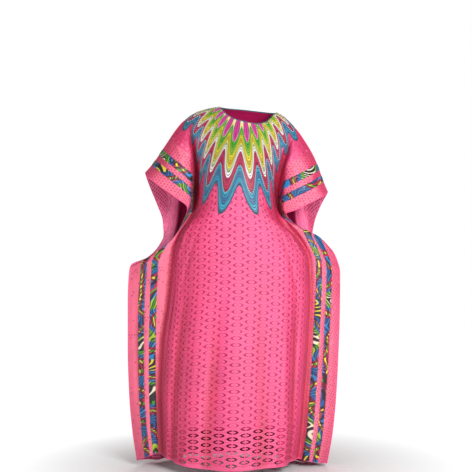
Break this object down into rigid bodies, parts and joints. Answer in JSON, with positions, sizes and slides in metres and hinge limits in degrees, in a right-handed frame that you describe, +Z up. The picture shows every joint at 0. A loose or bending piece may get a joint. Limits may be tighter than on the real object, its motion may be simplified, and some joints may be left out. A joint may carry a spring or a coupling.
{
  "type": "boubou robe",
  "caption": "Loose full-length robe of openwork lace, a wide front and back panel with a star-shaped yoke round the neck, hem open.",
  "frame": {"origin": "midway between the wearer's shoulders, at the height and depth of the shoulder fold, where the wearer holds the robe up", "axes": "+Z up along the robe's length, -Y out of the wearer's front, +X to the wearer's left"},
  "size_m": [0.8278, 0.3985, 1.3976],
  "materials": {
    "lace": "pink guipure lace on a thin pink underlining, open lace at the hem",
    "yoke_print": "printed cotton star in magenta, green, yellow, white, crimson and blue with small stones",
    "trim_print": "flat wax-print cotton in blue, green, yellow and black"
  },
  "bodies": {
    "root": {"front_panel": "lace", "back_panel": "lace", "yoke_front": "yoke_print", "yoke_back": "yoke_print", "strip_front_outer_left": "trim_print", "strip_front_outer_right": "trim_print", "strip_front_inner_left": "trim_print", "strip_front_inner_right": "trim_print", "strip_back_outer_left": "trim_print", "strip_back_outer_right": "trim_print", "strip_back_inner_left": "trim_print", "strip_back_inner_right": "trim_print"}
  },
  "joints": []
}
